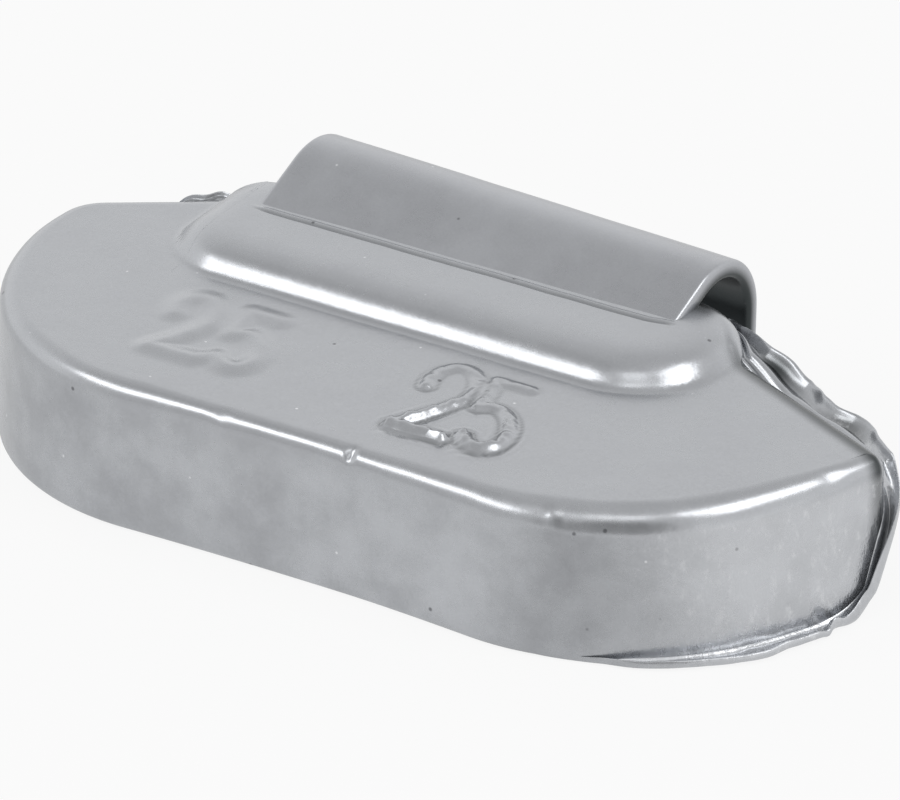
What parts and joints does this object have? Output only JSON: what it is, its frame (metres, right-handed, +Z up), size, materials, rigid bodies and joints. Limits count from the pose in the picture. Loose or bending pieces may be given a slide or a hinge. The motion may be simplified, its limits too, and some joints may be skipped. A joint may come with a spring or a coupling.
{
  "type": "wheel balance weight",
  "caption": "Clip-on wheel balance weight: a cast zinc bar with rounded ends and a raised boss that holds a bent spring steel clip for the lip of a steel rim.",
  "frame": {"origin": "middle of the flat land that the weight rests on, 5.6 mm behind the front wall", "axes": "+X along the weight, -Y out of the long front wall, +Y towards the clip, +Z up out of the numbered face"},
  "size_m": [0.0402, 0.0216, 0.0089],
  "materials": {
    "zinc_body": "satin silver coating on cast zinc",
    "steel_clip": "satin silver coating on spring steel"
  },
  "bodies": {
    "root": {"zinc_body": "zinc_body", "steel_clip": "steel_clip"}
  },
  "joints": []
}
